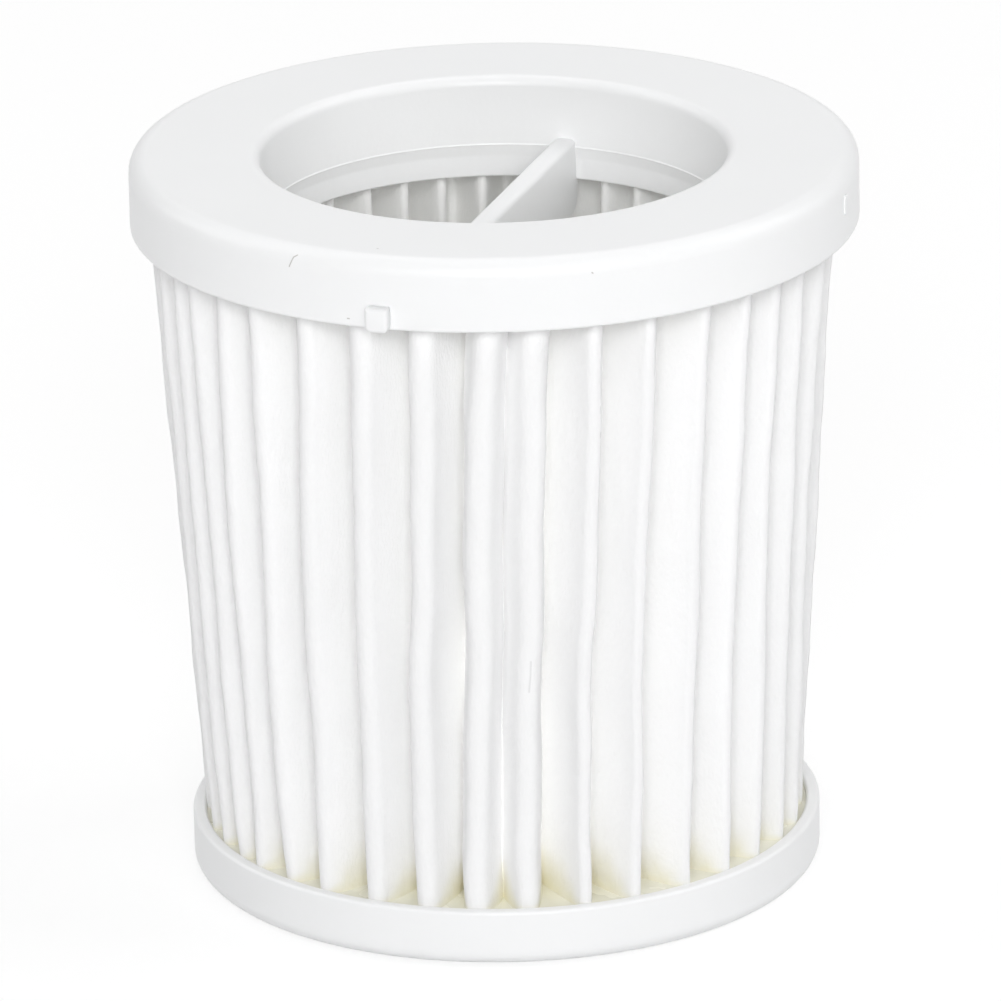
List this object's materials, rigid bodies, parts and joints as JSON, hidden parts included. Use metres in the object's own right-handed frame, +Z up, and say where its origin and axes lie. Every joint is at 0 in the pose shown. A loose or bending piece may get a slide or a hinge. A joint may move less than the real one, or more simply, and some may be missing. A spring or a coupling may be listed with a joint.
{
  "type": "vacuum filter",
  "caption": "Tapered pleated-paper filter cartridge with a ring-shaped top cap, a grip bar across its throat and a shallow cup at the foot.",
  "frame": {"origin": "centre of the bottom cap's resting face", "axes": "+Z up along the cartridge's axis, +Y and -Y through the two lugs and along the grip bar, +X through the moulding's scar"},
  "size_m": [0.0962, 0.0992, 0.099],
  "materials": {
    "cap_plastic": "moulded, satin to gloss, white",
    "filter_paper": "fibrous, matt, white",
    "resin": "cast, glossy, amber"
  },
  "bodies": {
    "root": {"top_cap": "cap_plastic", "pleated_media": "filter_paper", "bottom_cap": "cap_plastic", "top_potting": "resin", "bottom_potting": "resin"}
  },
  "joints": []
}
